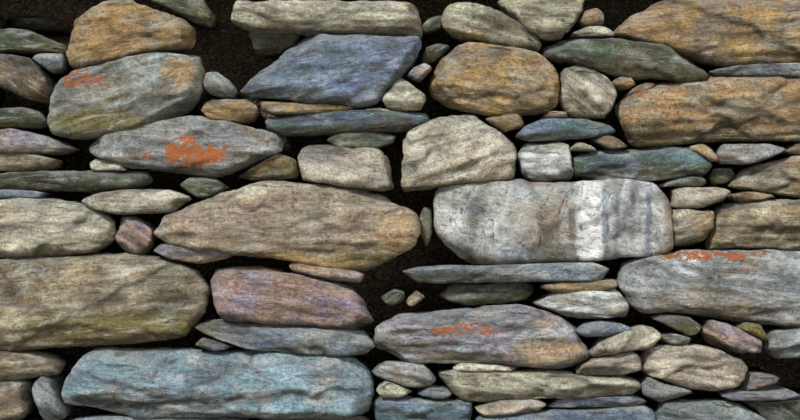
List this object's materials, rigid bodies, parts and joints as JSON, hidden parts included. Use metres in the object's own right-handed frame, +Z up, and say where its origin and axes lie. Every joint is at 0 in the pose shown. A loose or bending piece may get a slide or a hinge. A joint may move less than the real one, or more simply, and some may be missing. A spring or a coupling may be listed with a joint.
{
  "type": "dry stone wall",
  "caption": "Free-standing dry stone wall of split schist with two rubble faces, a packed heart, through stones at the ends and flat capstones.",
  "frame": {"origin": "middle of the wall's foot, on the ground", "axes": "+X along the wall to the right as seen from the front, +Y from the front face to the back face, +Z up"},
  "size_m": [2.4, 0.7232, 1.1951],
  "materials": {
    "heart_rubble": "rough, in deep shade",
    "schist": "split and weathered, with lichen",
    "schist_pinning": "split slips of schist",
    "footing_stone": "rough, stained by soil",
    "capstone": "flat slabs, weathered pale with lichen"
  },
  "bodies": {
    "root": {"hearting": "heart_rubble", "footing_front": "footing_stone", "footing_back": "footing_stone", "front_course_1": "schist", "front_course_2": "schist", "front_course_3": "schist", "front_course_4": "schist", "front_course_5": "schist", "front_course_6": "schist", "front_course_7": "schist", "front_course_8": "schist", "front_pinnings": "schist_pinning", "back_course_1": "schist", "back_course_2": "schist", "back_course_3": "schist", "back_course_4": "schist", "back_course_5": "schist", "back_course_6": "schist", "back_course_7": "schist", "back_course_8": "schist", "back_pinnings": "schist_pinning", "left_end_throughs": "schist", "left_end_pairs": "schist", "right_end_throughs": "schist", "right_end_pairs": "schist", "level_front": "schist", "level_back": "schist", "capstones": "capstone"}
  },
  "joints": []
}
